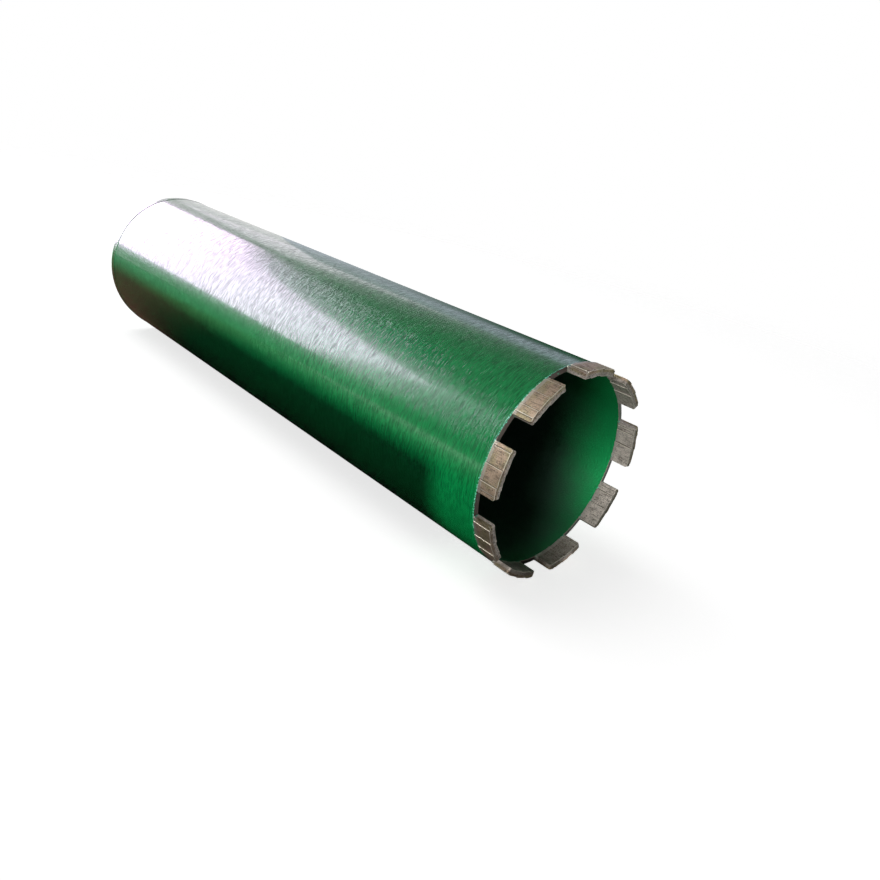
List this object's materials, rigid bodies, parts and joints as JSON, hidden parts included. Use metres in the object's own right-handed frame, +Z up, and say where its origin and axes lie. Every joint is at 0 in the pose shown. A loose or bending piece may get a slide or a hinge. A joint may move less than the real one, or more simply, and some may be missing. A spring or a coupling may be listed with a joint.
{
  "type": "diamond core bit",
  "caption": "Thin-walled tube with diamond turbo segments brazed to its rim, closed behind by a plate with a threaded hub: cuts round holes in concrete.",
  "frame": {"origin": "on the tool's axis where the hub's thread begins, 2 mm inside the hub's face", "axes": "+Y along the tool's axis, out of the hub towards the drill; the crown faces -Y; +Z up as the bit lies, with a gap between two segments at the bottom"},
  "size_m": [0.1069, 0.45, 0.1066],
  "materials": {
    "lacquer": "clear green lacquer over brushed steel",
    "segment_metal": "sintered metal bond, ground",
    "hub_steel": "turned"
  },
  "bodies": {
    "root": {"tube": "lacquer", "end_plate": "lacquer", "hub": "hub_steel", "segment_1": "segment_metal", "segment_2": "segment_metal", "segment_3": "segment_metal", "segment_4": "segment_metal", "segment_5": "segment_metal", "segment_6": "segment_metal", "segment_7": "segment_metal", "segment_8": "segment_metal", "segment_9": "segment_metal"}
  },
  "joints": []
}
